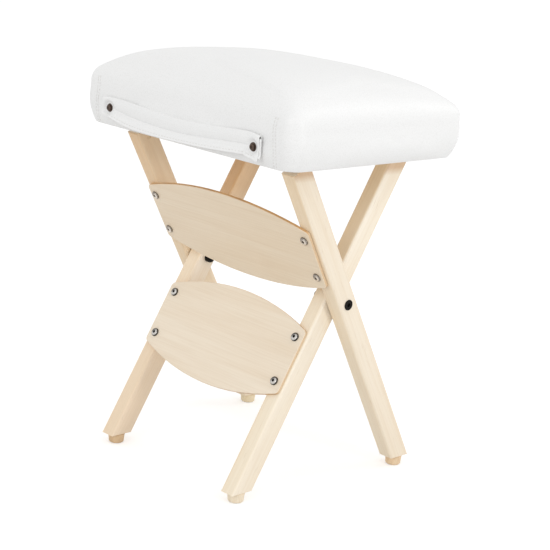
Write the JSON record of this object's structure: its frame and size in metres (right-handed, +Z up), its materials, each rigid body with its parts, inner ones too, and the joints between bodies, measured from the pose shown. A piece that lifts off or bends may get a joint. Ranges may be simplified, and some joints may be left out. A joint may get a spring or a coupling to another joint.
{
  "type": "folding stool",
  "caption": "Folding wooden stool with crossed legs, bowed plywood braces, a white padded seat and a carry strap on one end.",
  "frame": {"origin": "on the floor, under the middle of the stool's box", "axes": "+Z up; +X from the handle end of the seat to its other end; +Y to the side away from the viewer"},
  "size_m": [0.3143, 0.384, 0.5278],
  "materials": {
    "leg_maple": "clear satin lacquer",
    "plate_plywood": "clear satin lacquer, darker ply edges",
    "foot_beech": "satin",
    "board_plywood": "raw",
    "rail_pine": "raw",
    "cover_white": "smooth, fine grain, soft sheen",
    "strap_white": "smooth, fine grain, soft sheen",
    "screw_nickel": "polished nickel",
    "screw_bronze": "dark antique",
    "bolt_black": "black oxide",
    "hinge_zinc": "zinc plated",
    "washer_nylon": "natural nylon"
  },
  "bodies": {
    "outer_frame": {"cap_nut_far": "bolt_black", "cap_nut_near": "bolt_black", "hinge_pin_far": "hinge_zinc", "hinge_pin_near": "hinge_zinc", "outer_foot_far": "foot_beech", "outer_foot_near": "foot_beech", "outer_leg_far": "leg_maple", "outer_leg_near": "leg_maple", "pivot_bolt_far": "bolt_black", "pivot_bolt_near": "bolt_black", "spacer_washer_far": "washer_nylon", "spacer_washer_near": "washer_nylon", "upper_plate": "plate_plywood", "upper_plate_screw_far_inner": "screw_nickel", "upper_plate_screw_far_outer": "screw_nickel", "upper_plate_screw_near_inner": "screw_nickel", "upper_plate_screw_near_outer": "screw_nickel"},
    "inner_frame": {"inner_foot_far": "foot_beech", "inner_foot_near": "foot_beech", "inner_leg_far": "leg_maple", "inner_leg_near": "leg_maple", "lower_plate": "plate_plywood", "lower_plate_screw_far_inner": "screw_nickel", "lower_plate_screw_far_outer": "screw_nickel", "lower_plate_screw_near_inner": "screw_nickel", "lower_plate_screw_near_outer": "screw_nickel"},
    "seat": {"batten_screw_far": "hinge_zinc", "batten_screw_middle": "hinge_zinc", "batten_screw_near": "hinge_zinc", "handle_rail": "rail_pine", "handle_strap": "strap_white", "hinge_lug_far": "hinge_zinc", "hinge_lug_near": "hinge_zinc", "hinge_screw_far_far_end": "hinge_zinc", "hinge_screw_far_handle_end": "hinge_zinc", "hinge_screw_near_far_end": "hinge_zinc", "hinge_screw_near_handle_end": "hinge_zinc", "seat_board": "board_plywood", "seat_cushion": "cover_white", "stop_batten": "leg_maple", "strap_screw_far": "screw_bronze", "strap_screw_near": "screw_bronze", "strap_washer_far": "screw_bronze", "strap_washer_near": "screw_bronze"}
  },
  "joints": [
    {"name": "leg_fold", "type": "hinge", "parent": "outer_frame", "child": "inner_frame", "pos_m": [0.0097, 0, 0.2415], "axis": [0, -1, 0], "range_deg": [0, 56]},
    {"name": "seat_hinge", "type": "hinge", "parent": "outer_frame", "child": "seat", "pos_m": [-0.08585, 0, 0.407], "axis": [0, -1, 0], "range_deg": [0, 28.5]}
  ],
  "couplings": [
    {"joint": "seat_hinge", "follows": "leg_fold", "ratio": 0.5}
  ]
}
